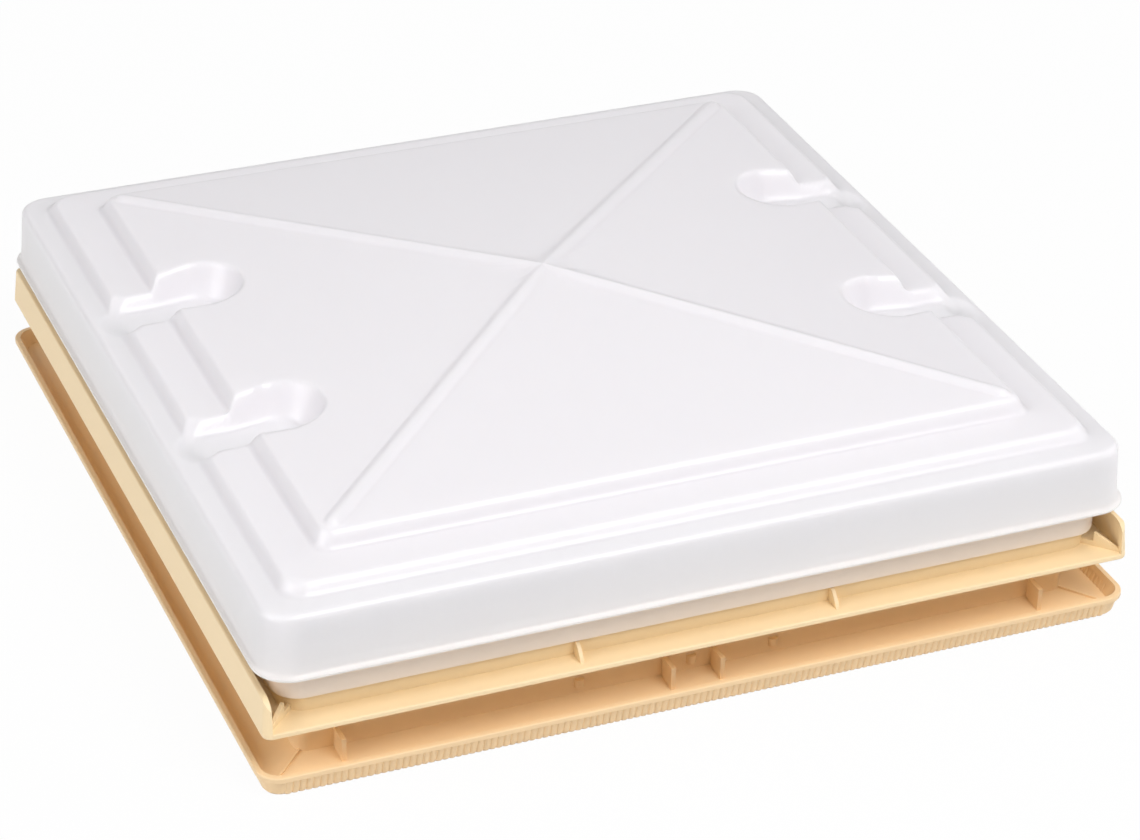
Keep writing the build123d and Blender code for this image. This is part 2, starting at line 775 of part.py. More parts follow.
# Inner dome: a plain tray that hangs below the outer dome's lip
with BuildPart() as inner_dome:
    with BuildSketch(Plane.XY.offset(liner_bottom)):
        RectangleRounded(2 * liner_half, 2 * liner_half, liner_corner)
    extrude(amount=liner_top - liner_bottom)
    fillet(ring_edges(inner_dome.part, liner_top), liner_round)
    with BuildSketch(Plane.XY.offset(bead_bottom)):
        bead_half = skirt_foot_half - dome_wall - bead_gap
        RectangleRounded(2 * bead_half, 2 * bead_half, skirt_corner - dome_wall)
    extrude(amount=bead_height)
    with BuildSketch(Plane.XY.offset(liner_bottom - 1)):
        RectangleRounded(2 * liner_inner, 2 * liner_inner, liner_corner - liner_wall)
    extrude(amount=plate_top - liner_bottom + 1, mode=Mode.SUBTRACT)
    fillet(ring_edges(inner_dome.part, liner_bottom), liner_lip_round)
    with BuildSketch(Plane.XY.offset(plate_top - 1)):
        for x, y in recess_places:
            with Locations((x, y - bracket_screw_y), (x, y + bracket_screw_y)):
                Circle(small_screw_radius + running_fit)
    extrude(amount=liner_wall + 2, mode=Mode.SUBTRACT)
finish("inner_dome", inner_dome.part)

# Hinge brackets under the recesses, each an arm with an eye on the hinge axis
for side, way in sides:
    for end, along in ends:
        arm_y = along * recess_y
        with BuildPart() as bracket:
            with BuildSketch(Plane.XZ.offset(-arm_y)):
                with Locations((way * axis_x, axis_z)):
                    Circle(eye_radius)
                with Locations((way * recess_x, plate_bottom + bracket_plate / 2)):
                    Rectangle(bracket_length, bracket_plate)
                make_hull()
                with Locations((way * axis_x, axis_z)):
                    Circle(pin_radius + running_fit, mode=Mode.SUBTRACT)
            extrude(amount=arm_thickness / 2, both=True)
            with BuildSketch(Plane.XY.offset(plate_bottom)):
                with Locations((way * recess_x, arm_y)):
                    RectangleRounded(bracket_length, bracket_width, bracket_corner)
                with Locations(
                    (way * recess_x, arm_y - bracket_screw_y),
                    (way * recess_x, arm_y + bracket_screw_y),
                ):
                    Circle(small_screw_radius + running_fit, mode=Mode.SUBTRACT)
            extrude(amount=bracket_plate)
        finish(f"{side}_{end}_hinge_bracket", bracket.part)

with BuildPart() as bracket_screws:
    for x, y in recess_places:
        for shift in (-bracket_screw_y, bracket_screw_y):
            with BuildSketch(Plane.XY.offset(plate_bottom - head_height)):
                with Locations((x, y + shift)):
                    Circle(small_screw_head)
            extrude(amount=head_height)
            with BuildSketch(Plane.XY.offset(plate_bottom)):
                with Locations((x, y + shift)):
                    Circle(small_screw_radius)
            extrude(amount=recess_floor - dome_wall + screw_tip - plate_bottom)
finish("bracket_screws", bracket_screws.part)

for side, way in sides:
    # Grip bar between the two eyes of its side
    grip_x = (grip_inner_x + grip_outer_x) / 2
    with BuildPart() as grip:
        with BuildSketch(Plane.XZ.offset(-grip_half_length)):
            with Locations((way * grip_x, (grip_bottom + grip_top) / 2)):
                RectangleRounded(grip_outer_x - grip_inner_x, grip_top - grip_bottom, grip_round)
        extrude(amount=2 * grip_half_length)
        with BuildSketch(Plane.XZ.offset(grip_half_length + 1)):
            with Locations((way * axis_x, axis_z)):
                Circle(pin_radius + screw_fit)
        extrude(amount=-(pin_grip_depth + 1), mode=Mode.SUBTRACT)
        with BuildSketch(Plane.XZ.offset(-grip_half_length - 1)):
            with Locations((way * axis_x, axis_z)):
                Circle(pin_radius + screw_fit)
        extrude(amount=pin_grip_depth + 1, mode=Mode.SUBTRACT)
        with BuildSketch(Plane.XY.offset(grip_bottom - 1)):
            with Locations((way * button_x, button_y), (way * button_x, -button_y)):
                Circle(small_screw_radius + screw_fit)
        extrude(amount=screw_bite + 2, mode=Mode.SUBTRACT)
        with BuildSketch(Plane.YZ.offset(way * (grip_inner_x - 1))):
            for place in (-guide_y, guide_y):
                with Locations((place - guide_screw_y, axis_z), (place + guide_screw_y, axis_z)):
                    Circle(small_screw_radius + screw_fit)
        extrude(amount=way * (screw_bite + 2), mode=Mode.SUBTRACT)
    finish(f"{side}_grip", grip.part)

    with BuildPart() as hinge_pins:
        for along in (-1, 1):
            start = grip_half_length - pin_grip_depth + pin_end_gap
            stop = recess_y + arm_thickness / 2 + slack
            with BuildSketch(Plane.XZ.offset(along * start)):
                with Locations((way * axis_x, axis_z)):
                    Circle(pin_radius)
            extrude(amount=along * (stop - start))
            with BuildSketch(Plane.XZ.offset(along * stop)):
                with Locations((way * axis_x, axis_z)):
                    Circle(pin_head_radius)
            extrude(amount=along * pin_head)
    finish(f"{side}_hinge_pins", hinge_pins.part)

    for end, along in ends:
        # Stay guide: a slotted plate on the grip that the bow's bar slides in
        with BuildPart() as guide:
            with BuildSketch(Plane.XZ.offset(-along * guide_y)):
                with Locations((way * (grip_inner_x - guide_reach / 2), axis_z)):
                    Rectangle(guide_reach, 2 * guide_half_height)
                slot_length = guide_slot_end - guide_slot_start
                slot_middle = grip_inner_x - (guide_slot_start + guide_slot_end) / 2
                with Locations((way * slot_middle, axis_z - guide_slot_drop)):
                    RectangleRounded(slot_length, guide_slot_height, guide_slot_height / 2 - 0.1,
                                     mode=Mode.SUBTRACT)
            extrude(amount=guide_thickness / 2, both=True)
            fillet(guide.part.edges().filter_by(Axis.Y).group_by(Axis.X)[0 if way > 0 else -1], guide_corner)
            with BuildSketch(Plane.YZ.offset(way * grip_inner_x)):
                with Locations((along * guide_y, axis_z)):
                    Rectangle(guide_foot_width, grip_top - grip_bottom - 2 * grip_round)
            extrude(amount=-way * guide_foot)
            with BuildSketch(Plane.YZ.offset(way * grip_inner_x)):
                with Locations(
                    (along * guide_y - guide_screw_y, axis_z),
                    (along * guide_y + guide_screw_y, axis_z),
                ):
                    Circle(small_screw_radius + running_fit)
            extrude(amount=-way * guide_foot, mode=Mode.SUBTRACT)
        finish(f"{side}_{end}_stay_guide", guide.part)

    with BuildPart() as guide_screws:
        for place in (-guide_y - guide_screw_y, -guide_y + guide_screw_y,
                      guide_y - guide_screw_y, guide_y + guide_screw_y):
            face = Plane(origin=(way * (grip_inner_x - guide_foot), place, axis_z), z_dir=(-way, 0, 0))
            with BuildSketch(face):
                Circle(small_screw_head)
            extrude(amount=head_height)
            with BuildSketch(face):
                Circle(small_screw_radius)
            extrude(amount=-(guide_foot + screw_bite))
    finish(f"{side}_guide_screws", guide_screws.part)

    # Turn buttons below the grip, each on its own shoulder screw
    bar_top = keeper_top - keeper_plate - slack
    bar_bottom = bar_top - button_bar_height
    for end, along in ends:
        with BuildPart() as button:
            with BuildSketch(Plane.XY.offset(bar_bottom)):
                with Locations((way * button_x, along * button_y)):
                    SlotOverall(button_bar, button_bar_width, rotation=90)
            extrude(amount=button_bar_height)
            with BuildSketch(Plane.XY.offset(bar_top)):
                with Locations((way * button_x, along * button_y)):
                    Circle(button_stem_radius)
            extrude(amount=grip_bottom - slack - bar_top)
            with BuildSketch(Plane.XY.offset(bar_bottom)):
                with Locations((way * button_x, along * button_y)):
                    Circle(small_screw_radius + running_fit)
            extrude(amount=grip_bottom - bar_bottom, mode=Mode.SUBTRACT)
        finish(f"{side}_{end}_turn_button", button.part)

    with BuildPart() as button_screws:
        for place in (-button_y, button_y):
            with BuildSketch(Plane.XY.offset(bar_bottom - slack - head_height)):
                with Locations((way * button_x, place)):
                    Circle(small_screw_head)
            extrude(amount=head_height)
            with BuildSketch(Plane.XY.offset(bar_bottom - slack)):
                with Locations((way * button_x, place)):
                    Circle(small_screw_radius)
            extrude(amount=grip_bottom + screw_bite - bar_bottom)
    finish(f"{side}_button_screws", button_screws.part)

    # Stay bow: one bent wire from clip to clip through both guides
    with BuildPart() as bow:
        with BuildLine() as bow_path:
            FilletPolyline(
                (way * bow_pivot_x, -bow_end_y, bow_pivot_z),
                (way * bow_pivot_x, -bow_leg_y, bow_pivot_z),
                (way * bow_bar_x, -bow_leg_y, bow_bar_z),
                (way * bow_bar_x, bow_leg_y, bow_bar_z),
                (way * bow_pivot_x, bow_leg_y, bow_pivot_z),
                (way * bow_pivot_x, bow_end_y, bow_pivot_z),
                radius=[bow_elbow, bow_bend, bow_bend, bow_elbow],
            )
        with BuildSketch(bow_path.line ^ 0):
            Circle(wire_radius)
        sweep()
    finish(f"{side}_stay_bow", bow.part)

os.makedirs("parts", exist_ok=True)
for name, part in pieces.items():
    export_step(part, f"parts/{name}.step")
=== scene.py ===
"""Dresses the push-up roof hatch: opal dome, grey liner, beige flange and trim, fittings and flyscreen."""

import math

import bmesh
import bpy
from mathutils import Matrix, Vector


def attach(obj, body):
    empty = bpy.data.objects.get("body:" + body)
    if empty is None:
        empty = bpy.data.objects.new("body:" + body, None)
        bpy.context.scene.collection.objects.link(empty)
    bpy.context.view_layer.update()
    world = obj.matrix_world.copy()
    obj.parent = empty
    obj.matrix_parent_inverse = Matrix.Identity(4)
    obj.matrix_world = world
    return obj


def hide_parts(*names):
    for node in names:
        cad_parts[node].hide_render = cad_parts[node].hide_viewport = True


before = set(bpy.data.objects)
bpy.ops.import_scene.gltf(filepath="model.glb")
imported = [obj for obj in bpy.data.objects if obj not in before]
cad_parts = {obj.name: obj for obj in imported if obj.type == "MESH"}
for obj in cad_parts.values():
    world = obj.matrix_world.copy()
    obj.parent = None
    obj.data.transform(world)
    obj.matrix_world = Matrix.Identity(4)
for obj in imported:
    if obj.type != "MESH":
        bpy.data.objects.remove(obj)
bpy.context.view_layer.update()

bl_info = {
    "name": "Roof hatch finishes",
    "version": (1, 0, 0),
    "blender": (4, 5, 0),
    "location": "View3D > Sidebar > Roof hatch",
    "description": "Gives a push-up roof hatch its plastics, metal, rubber and net, and its studio",
    "category": "Material",
}

ENDS = ("front", "back")
SIDES = ("left", "right")

# Outer dome: half width and height of each bend from the crown to the skirt, in metres
BENDS = (
    (0.0, 0.1216),
    (0.1772, 0.1073),
    (0.1802, 0.0996),
    (0.2012, 0.0990),
    (0.2036, 0.0933),
    (0.2161, 0.0922),
)
PANEL_HALF, PANEL_LEVEL = BENDS[1]
# Its corner radius at a few half widths
CORNERS = ((0.0, 0.0), (0.1772, 0.0065), (0.2012, 0.0115), (0.2161, 0.014), (0.2205, 0.0184))
# Skirt and lip below the rounded shoulder: half width and height, out, down and in again
SKIRT = (
    (0.2163, 0.0860),
    (0.2175, 0.0690),
    (0.2181, 0.0640),
    (0.2186, 0.0629),
    (0.2194, 0.0624),
    (0.2203, 0.0619),
    (0.2204, 0.0612),
    (0.2200, 0.0606),
    (0.2165, 0.0606),
    (0.2141, 0.0606),
    (0.2136, 0.0620),
    (0.2132, 0.0850),
    (0.2110, 0.0884),
)
# The shoulder is a quarter round between the lower ledge and the skirt
SHOULDER_HALF = 0.2127
SHOULDER_ROUND = 0.0034
SHOULDER_STEPS = 6
# Edges that bend more than this stay sharp to the eye
SHARP_BEND = math.radians(50.0)
# Ring spacing: half widths between which rings lie, and how many
RINGS = ((0.002, 0.132, 16), (0.132, 0.173, 30), (0.173, 0.184, 14), (0.184, 0.198, 8), (0.198, 0.2127, 15))
# Spacing along half of a side, from its middle to its corner: shares of the side, and how many
BUSY_SIDE = ((0.0, 0.18, 6), (0.18, 0.66, 64), (0.66, 0.93, 13), (0.93, 1.0, 12))
PLAIN_SIDE = ((0.0, 0.66, 8), (0.66, 0.93, 13), (0.93, 1.0, 12))

# A rib's round end is this much blunter than a half circle, and its section this steep
RIB_BLUNTNESS = 1.6
RIB_STEEPNESS = 1.5
# A bowl narrows to its channel over this length
NARROWING = 0.02
# The dish in the lower ledge: its reach across the side as a share of that along it,
# how far its floor rises to its rim, and the reach of the round bend at its brim
DISH_SHARE = 0.65
DISH_RISE = 0.0035
DISH_SOFT = 0.0012

# The painted warm shade on the skirt fades out over this height above the lip
LIP_LEVEL = 0.062
LIP_SHADE_HEIGHT = 0.025
# Height of the finest grain of the plastics
GRAIN_HEIGHT = 0.0003

# The net's two layers of threads lie this many thread thicknesses above and below its middle
CROSSING = 0.4
THREAD_SIDES = 6

# Each light's size and place, in metres
LIGHTS = {
    "overhead": (1.8, (0.1, 0.2, 2.2)),
    "key": (1.3, (0.45, -1.3, 1.85)),
    "left": (1.6, (-2.1, -0.3, 1.1)),
    "front": (1.6, (0.3, -2.4, 0.8)),
    "right": (1.6, (2.1, 0.1, 1.1)),
    "back": (2.6, (0.2, 2.2, 1.5)),
}
WHITE = (1.0, 1.0, 1.0, 1.0)
FLOOR_REACH = 8.0
FLOOR_GREY = (0.84, 0.84, 0.84, 1.0)
# How much of the floor's look, to the camera and in reflections, is plain white
FLOOR_GLOW = 0.96
FILM_WIDTH_MM = 36.0
VIEW_END = 60.0


class Signal:
    """A socket of a node tree that can be used in arithmetic."""

    def __init__(self, finish, socket):
        self.finish = finish
        self.socket = socket

    def reckon(self, operation, *terms):
        """A Math node of this operation on the given terms."""
        return self.finish.node("ShaderNodeMath", {"operation": operation}, dict(enumerate(terms))).out()

    def __add__(self, other):
        return self.reckon("ADD", self, other)

    def __radd__(self, other):
        return self.reckon("ADD", other, self)

    def __sub__(self, other):
        return self.reckon("SUBTRACT", self, other)

    def __rsub__(self, other):
        return self.reckon("SUBTRACT", other, self)

    def __mul__(self, other):
        return self.reckon("MULTIPLY", self, other)

    def __rmul__(self, other):
        return self.reckon("MULTIPLY", other, self)

    def clamped(self):
        """The same signal kept between 0 and 1."""
        return self.finish.node("ShaderNodeClamp", {}, {"Value": self}).out()


class Made:
    """A node with short ways to its outputs."""

    def __init__(self, finish, node):
        self.finish = finish
        self.node = node

    def out(self, name=0):
        """One of the node's outputs as a signal."""
        return Signal(self.finish, self.node.outputs[name])


class Finish:
    """The nodes of a material, or of the sky, under construction."""

    def __init__(self, owner, output="ShaderNodeOutputMaterial"):
        self.owner = owner
        owner.use_nodes = True
        self.tree = owner.node_tree
        self.tree.nodes.clear()
        self.output = self.tree.nodes.new(output)

    def node(self, kind, settings=None, inputs=None):
        """Any node: its settings are set first, then the values or links of its sockets."""
        node = self.tree.nodes.new(kind)
        for key, value in (settings or {}).items():
            setattr(node, key, value)
        for key, value in (inputs or {}).items():
            if isinstance(value, Signal):
                self.tree.links.new(value.socket, node.inputs[key])
            else:
                node.inputs[key].default_value = value
        return Made(self, node)

    def place(self):
        """Where a point of the piece is, in the frame's metres."""
        return self.node("ShaderNodeTexCoord").out("Object")

    def noise(self, scale, detail=3.0, roughness=0.5):
        """Smooth noise over the piece, at a scale in cells per metre."""
        sockets = {"Vector": self.place(), "Scale": scale, "Detail": detail, "Roughness": roughness}
        return self.node("ShaderNodeTexNoise", {}, sockets).out("Fac")

    def mix(self, share, first, second):
        """A blend of two colours."""
        return self.node("ShaderNodeMix", {"data_type": "RGBA"}, {0: share, 6: first, 7: second}).out(2)

    def blend(self, share, first, second):
        """A blend of two shaders."""
        return self.node("ShaderNodeMixShader", {}, {0: share, 1: first, 2: second}).out()

    def bump(self, height, strength):
        """A normal raised by the plastics' grain."""
        sockets = {"Height": height, "Strength": strength, "Distance": GRAIN_HEIGHT}
        return self.node("ShaderNodeBump", {}, sockets).out()

    def plastic(self, **sockets):
        """Close the material with a principled shader that has these sockets."""
        named = {key.replace("_", " "): value for key, value in sockets.items()}
        return self.close(self.node("ShaderNodeBsdfPrincipled", {}, named).out())

    def close(self, shader):
        """Lead a shader to the output."""
        self.tree.links.new(shader.socket, self.output.inputs["Surface"])
        return self.owner


def hinge(value, soft):
    """Zero below nought and the value above, with a round bend of this reach between."""
    if value <= -soft:
        return 0.0
    if value >= soft:
        return value
    return (value + soft) ** 2 / (4 * soft)


def lower(first, second, soft):
    """The lower of two heights, with the crease between them rounded."""
    return first - hinge(first - second, soft)


def higher(first, second, soft):
    """The higher of two heights, with the crease between them rounded."""
    return first + hinge(second - first, soft)


def between(table, place):
    """A value read from a table of points by straight lines."""
    for (start, low), (stop, high) in zip(table, table[1:]):
        if place <= stop:
            return low + (high - low) * (place - start) / (stop - start)
    return table[-1][1]


def spread(runs):
    """Places along several runs, each a start, a stop and a count."""
    places = [start + (stop - start) * step / count for start, stop, count in runs for step in range(count)]
    return places + [runs[-1][1]]


def around():
    """The side and the share of that side for every point round a ring."""
    points = []
    for side, runs in enumerate((BUSY_SIDE, PLAIN_SIDE, BUSY_SIDE, PLAIN_SIDE)):
        half = spread(runs)
        shares = [-share for share in reversed(half)] + half[1:-1]
        points += [(side, share) for share in shares]
    return points


def ring_point(half, side, share):
    """A point of a rounded square: the first side faces right, the next ones follow anticlockwise."""
    corner = between(CORNERS, half)
    reach = share * half
    straight = half - corner
    x, y = half, reach
    if abs(reach) > straight:
        bend = math.pi / 4 * (abs(reach) - straight) / corner
        x = straight + corner * math.cos(bend)
        y = math.copysign(straight + corner * math.sin(bend), reach)
    for turn in range(side):
        x, y = -y, x
    return x, y


class DomeForm:
    """The top of the outer dome as a height over each point."""

    def __init__(self, shape):
        self.shape = shape

    def stepped(self, half):
        """The pyramid and its two steps."""
        height = BENDS[0][1]
        slope = 0.0
        for (start, high), (stop, low) in zip(BENDS, BENDS[1:]):
            steeper = (low - high) / (stop - start)
            height += (steeper - slope) * (hinge(half - start, self.shape.step_soft) if start else half)
            slope = steeper
        return height

    def rib(self, half, x, y):
        """How far the two crossing ribs stand up."""
        across = abs(abs(x) - abs(y)) / math.sqrt(2)
        beyond = max(0.0, half - (PANEL_HALF - self.shape.rib_inset)) * RIB_BLUNTNESS
        away = min(1.0, math.hypot(across, beyond) / self.shape.rib_half)
        return self.shape.rib_height * (1 - away * away) ** RIB_STEEPNESS

    def recess(self, x, y):
        """The height of the recesses' floors and leaning walls."""
        shape = self.shape
        across = abs(y) - shape.recess_y
        along = abs(x)
        past = min(max(along - shape.recess_x, 0.0), shape.channel_end - shape.recess_x)
        radius = shape.bowl_radius - (shape.bowl_radius - shape.channel_half) * min(1.0, past / NARROWING)
        outside = math.hypot(along - shape.recess_x - past, across) - radius
        wall = PANEL_LEVEL + outside / math.tan(shape.recess_lean)
        dish = math.hypot((along - shape.dish_x) / DISH_SHARE, across) / shape.dish_radius
        dished = shape.dish_floor + DISH_RISE * dish * dish
        return lower(higher(wall, shape.recess_floor, shape.foot_soft), dished, DISH_SOFT)

    def height(self, half, x, y):
        """The dome's height at a point of a ring."""
        top = self.stepped(half) + self.rib(half, x, y)
        return lower(top, self.recess(x, y), self.shape.brim_soft)


def rgba(tint):
    """A colour with full alpha."""
    return (*tint, 1.0)


def scaled(tint, red, green=None, blue=None):
    """A colour with its channels multiplied by these shares, or all of them by the first."""
    shares = (red, green or red, blue or red)
    return rgba(min(1.0, share * value) for share, value in zip(shares, tint))


def raised(tint, step):
    """A colour with the same step added to each channel."""
    return rgba(value + step for value in tint)


def new_finish(name):
    """The finish of a new material."""
    return Finish(bpy.data.materials.new(name))


def dress(material, *names):
    """Give CAD nodes a material in place of their own."""
    for name in names:
        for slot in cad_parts[name].material_slots:
            slot.material = material


def shown(name, data):
    """A mesh, a lamp or a camera as an object in the scene."""
    thing = bpy.data.objects.new(name, data)
    bpy.context.scene.collection.objects.link(thing)
    return thing


def moulded(name, form):
    """The mesh that a bmesh holds, which is freed."""
    mesh = bpy.data.meshes.new(name)
    form.to_mesh(mesh)
    form.free()
    return mesh


def colour(name, description, default):
    """A colour property."""
    return bpy.props.FloatVectorProperty(
        name=name, description=description, subtype="COLOR", size=3, min=0.0, max=1.0, default=default)


def power(name, description, default):
    """A light's power."""
    return bpy.props.FloatProperty(
        name=name, description=description, unit="POWER", min=0.0, default=default)


def length(name, description, default):
    """A length in metres."""
    return bpy.props.FloatProperty(
        name=name, description=description, unit="LENGTH", precision=5, default=default)


def angle(name, description, degrees):
    """An angle, given in degrees."""
    return bpy.props.FloatProperty(
        name=name, description=description, subtype="ANGLE", default=math.radians(degrees))


class HatchColours(bpy.types.PropertyGroup):
    """Colours of the hatch's pieces."""

    opal: colour("Opal", "Outer dome", (0.88, 0.855, 0.885))
    # Opal near the lip is the plain opal with painted warm shade, slightly darker and yellower
    opal_lip_shade: colour("Opal at the lip", "Outer dome near its lip", (0.87, 0.835, 0.83))
    liner: colour("Liner", "Inner dome", (0.89, 0.77, 0.66))
    flange: colour("Flange", "Roof flange", (1.0, 0.79, 0.49))
    trim: colour("Trim", "Inside trim", (0.96, 0.71, 0.425))
    fittings: colour("Fittings", "Grips, brackets, guides and keepers", (0.80, 0.75, 0.66))
    zinc: colour("Zinc", "Screws, pins and bows", (0.62, 0.63, 0.64))
    rubber: colour("Rubber", "Wiper seal", (0.03, 0.03, 0.03))
    net: colour("Net", "Flyscreen net", (0.08, 0.08, 0.08))


class HatchDome(bpy.types.PropertyGroup):
    """Shape of the outer dome."""

    step_soft: length("Step softness", "Reach of the round bends at the steps", 0.0019)
    rib_height: length("Rib height", "Height of the crossing ribs over the pyramid", 0.00215)
    rib_half: length("Rib half width", "Half the width of a rib at its foot", 0.0052)
    rib_inset: length("Rib inset", "Distance of a rib's round end from the panel's corner", 0.0052)
    recess_x: length("Recess X", "Distance of a bowl from the middle, left or right", 0.161)
    recess_y: length("Recess Y", "Distance of a bowl from the middle, near or far", 0.0645)
    bowl_radius: length("Bowl radius", "Radius of a bowl at the panel's height", 0.0212)
    channel_half: length("Channel half width", "Half the width of a channel at the panel's height", 0.0182)
    channel_end: length("Channel end", "Where the middle of a channel's round end lies", 0.194)
    recess_floor: length("Recess floor", "Height of the recess floors", 0.0921)
    recess_lean: angle("Recess lean", "Lean of the recess walls from upright", 24.0)
    foot_soft: length("Foot softness", "Reach of the round bend between a recess's wall and floor", 0.0045)
    brim_soft: length("Brim softness", "Reach of the round bend at a recess's brim", 0.0012)
    dish_x: length("Dish X", "Distance of the dish in the lower ledge from the middle", 0.2045)
    dish_radius: length("Dish radius", "Radius of that dish along the side", 0.013)
    dish_floor: length("Dish floor", "Height of the dish's lowest point", 0.0905)


class HatchNet(bpy.types.PropertyGroup):
    """Sizes of the flyscreen's net."""

    pitch: length("Pitch", "Distance between two threads", 0.003)
    thread: length("Thread", "Thickness of a thread", 0.0005)
    edge: length("Edge", "Distance of the outermost threads from the net's edge", 0.002)


class HatchStudio(bpy.types.PropertyGroup):
    """Camera and lights."""

    yaw: angle("Yaw", "Turn of the view from straight ahead", -22.996)
    pitch: angle("Pitch", "How far the view looks down", 30.451)
    roll: angle("Roll", "Tilt of the picture", 1.514)
    lens: bpy.props.FloatProperty(
        name="Lens", description="Focal length on a 36 mm frame, in millimetres", default=112.39)
    spot: bpy.props.FloatVectorProperty(
        name="Camera", description="Camera position", subtype="TRANSLATION", unit="LENGTH", size=3,
        default=(-0.60237, -1.45878, 0.96076))
    sky: bpy.props.FloatProperty(
        name="Sky", description="Strength of the even light all round", default=0.15)
    overhead: power("Overhead", "Power of the overhead light", 3.0)
    key: power("Key", "Power of the light above the near side", 33.0)
    left: power("Left", "Power of the light on the left", 24.5)
    front: power("Front", "Power of the low light on the near side", 1.5)
    right: power("Right", "Power of the light on the right", 11.0)
    back: power("Back", "Power of the light behind", 10.0)


class HATCH_OT_dome(bpy.types.Operator):
    """Mould the outer dome with its soft steps, ribs and recesses, in satin opal plastic"""

    bl_idname = "hatch.dome"
    bl_label = "Outer dome"

    def execute(self, context):
        dome = self.mould(DomeForm(context.scene.hatch_dome))
        dome.data.materials.append(self.opal(context.scene.hatch_colours))
        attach(dome, "dome")
        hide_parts("outer_dome")
        return {"FINISHED"}

    def mould(self, form):
        """A skin over rings of points, closed at the crown above and the ceiling inside."""
        mould = bmesh.new()
        rings = [[mould.verts.new(place) for place in ring] for ring in self.rings(form)]
        for outer, inner in zip(rings[1:], rings):
            for index, corner in enumerate(outer):
                mould.faces.new((inner[index - 1], outer[index - 1], corner, inner[index]))
        crown = mould.verts.new((0.0, 0.0, form.height(0.0, 0.0, 0.0)))
        ceiling = mould.verts.new((0.0, 0.0, SKIRT[-1][1]))
        for index, corner in enumerate(rings[0]):
            mould.faces.new((crown, rings[0][index - 1], corner))
            mould.faces.new((ceiling, rings[-1][index], rings[-1][index - 1]))
        mesh = moulded("opal_dome", mould)
        mesh.polygons.foreach_set("use_smooth", [True] * len(mesh.polygons))
        mesh.set_sharp_from_angle(angle=SHARP_BEND)
        return shown("opal_dome", mesh)

    def rings(self, form):
        """Rings of points over the top, round the shoulder, down to the lip and in again."""
        points = around()
        rings = []
        for half in spread(RINGS):
            places = [ring_point(half, side, share) for side, share in points]
            rings.append([(x, y, form.height(half, x, y)) for x, y in places])
        edge = [z for x, y, z in rings[-1]]
        for step in range(1, SHOULDER_STEPS + 1):
            turn = step * math.pi / (2 * SHOULDER_STEPS)
            half = SHOULDER_HALF + SHOULDER_ROUND * math.sin(turn)
            drop = SHOULDER_ROUND * (1 - math.cos(turn))
            places = [ring_point(half, side, share) for side, share in points]
            rings.append([(x, y, z - drop) for (x, y), z in zip(places, edge)])
        for half, level in SKIRT:
            rings.append([(*ring_point(half, side, share), level) for side, share in points])
        return rings

    def opal(self, colours):
        """White plastic that lets a little light through."""
        finish = new_finish("opal_plastic")
        haze = finish.noise(26.0, detail=4.0, roughness=0.6)
        orange_peel = finish.noise(420.0, detail=2.0)
        return finish.plastic(
            # The skirt's colour turns to painted warm shade towards the lip
            Base_Color=finish.mix(self.unshaded_share(finish), rgba(colours.opal_lip_shade), rgba(colours.opal)),
            Roughness=0.31 + 0.06 * haze,
            Normal=finish.bump(orange_peel, 0.04),
            IOR=1.49,
            Coat_Weight=0.15,
            Coat_Roughness=0.15,
            Subsurface_Weight=0.6,
            Subsurface_Radius=(1.0, 0.97, 0.95),
            Subsurface_Scale=0.008,
        )

    def unshaded_share(self, finish):
        """Nought at the lip, where the painted warm shade is fullest, and one at its shoulder."""
        level = finish.node("ShaderNodeSeparateXYZ", {}, {0: finish.place()}).out("Z")
        return ((level - LIP_LEVEL) * (1 / LIP_SHADE_HEIGHT)).clamped()


class HATCH_OT_liner(bpy.types.Operator):
    """Finish the inner dome in the greyer plastic of its skirt"""

    bl_idname = "hatch.liner"
    bl_label = "Inner dome"

    def execute(self, context):
        liner = context.scene.hatch_colours.liner
        finish = new_finish("liner_plastic")
        cloud = finish.noise(14.0, detail=2.0)
        material = finish.plastic(
            Base_Color=finish.mix(cloud, rgba(liner), scaled(liner, 1.05)),
            Roughness=0.34 + 0.08 * cloud,
            IOR=1.49,
        )
        dress(material, "inner_dome")
        return {"FINISHED"}


class HATCH_OT_frames(bpy.types.Operator):
    """Finish the flange, the trim and the screen's frame in moulded beige plastic"""

    bl_idname = "hatch.frames"
    bl_label = "Flange and trim"

    def execute(self, context):
        colours = context.scene.hatch_colours
        dress(self.beige("flange_plastic", colours.flange), "upper_frame")
        dress(self.beige("trim_plastic", colours.trim), "lower_frame", "flyscreen_frame")
        return {"FINISHED"}

    def beige(self, name, tint):
        """Beige plastic with a fine grain and faint clouds of a deeper tint."""
        finish = new_finish(name)
        cloud = finish.noise(11.0)
        grain = finish.noise(900.0, detail=2.0)
        return finish.plastic(
            Base_Color=finish.mix(cloud, rgba(tint), scaled(tint, 0.965, 0.955, 0.94)),
            Roughness=0.42 + 0.1 * grain,
            Normal=finish.bump(grain, 0.12),
            IOR=1.5,
        )


class HATCH_OT_fittings(bpy.types.Operator):
    """Finish the grips, brackets, guides, keepers, clips and buttons"""

    bl_idname = "hatch.fittings"
    bl_label = "Plastic fittings"

    def execute(self, context):
        tint = context.scene.hatch_colours.fittings
        finish = new_finish("fitting_plastic")
        grain = finish.noise(700.0, detail=2.0)
        cloud = finish.noise(30.0, detail=2.0)
        material = finish.plastic(
            Base_Color=finish.mix(cloud, rgba(tint), scaled(tint, 0.95)),
            Roughness=0.44 + 0.1 * grain,
            Normal=finish.bump(grain, 0.15),
        )
        names = [f"{side}_{part}" for side in SIDES for part in ("grip", "keeper")]
        names += [f"{end}_stay_clip" for end in ENDS]
        for part in ("hinge_bracket", "stay_guide", "turn_button"):
            names += [f"{side}_{end}_{part}" for side in SIDES for end in ENDS]
        dress(material, *names)
        return {"FINISHED"}


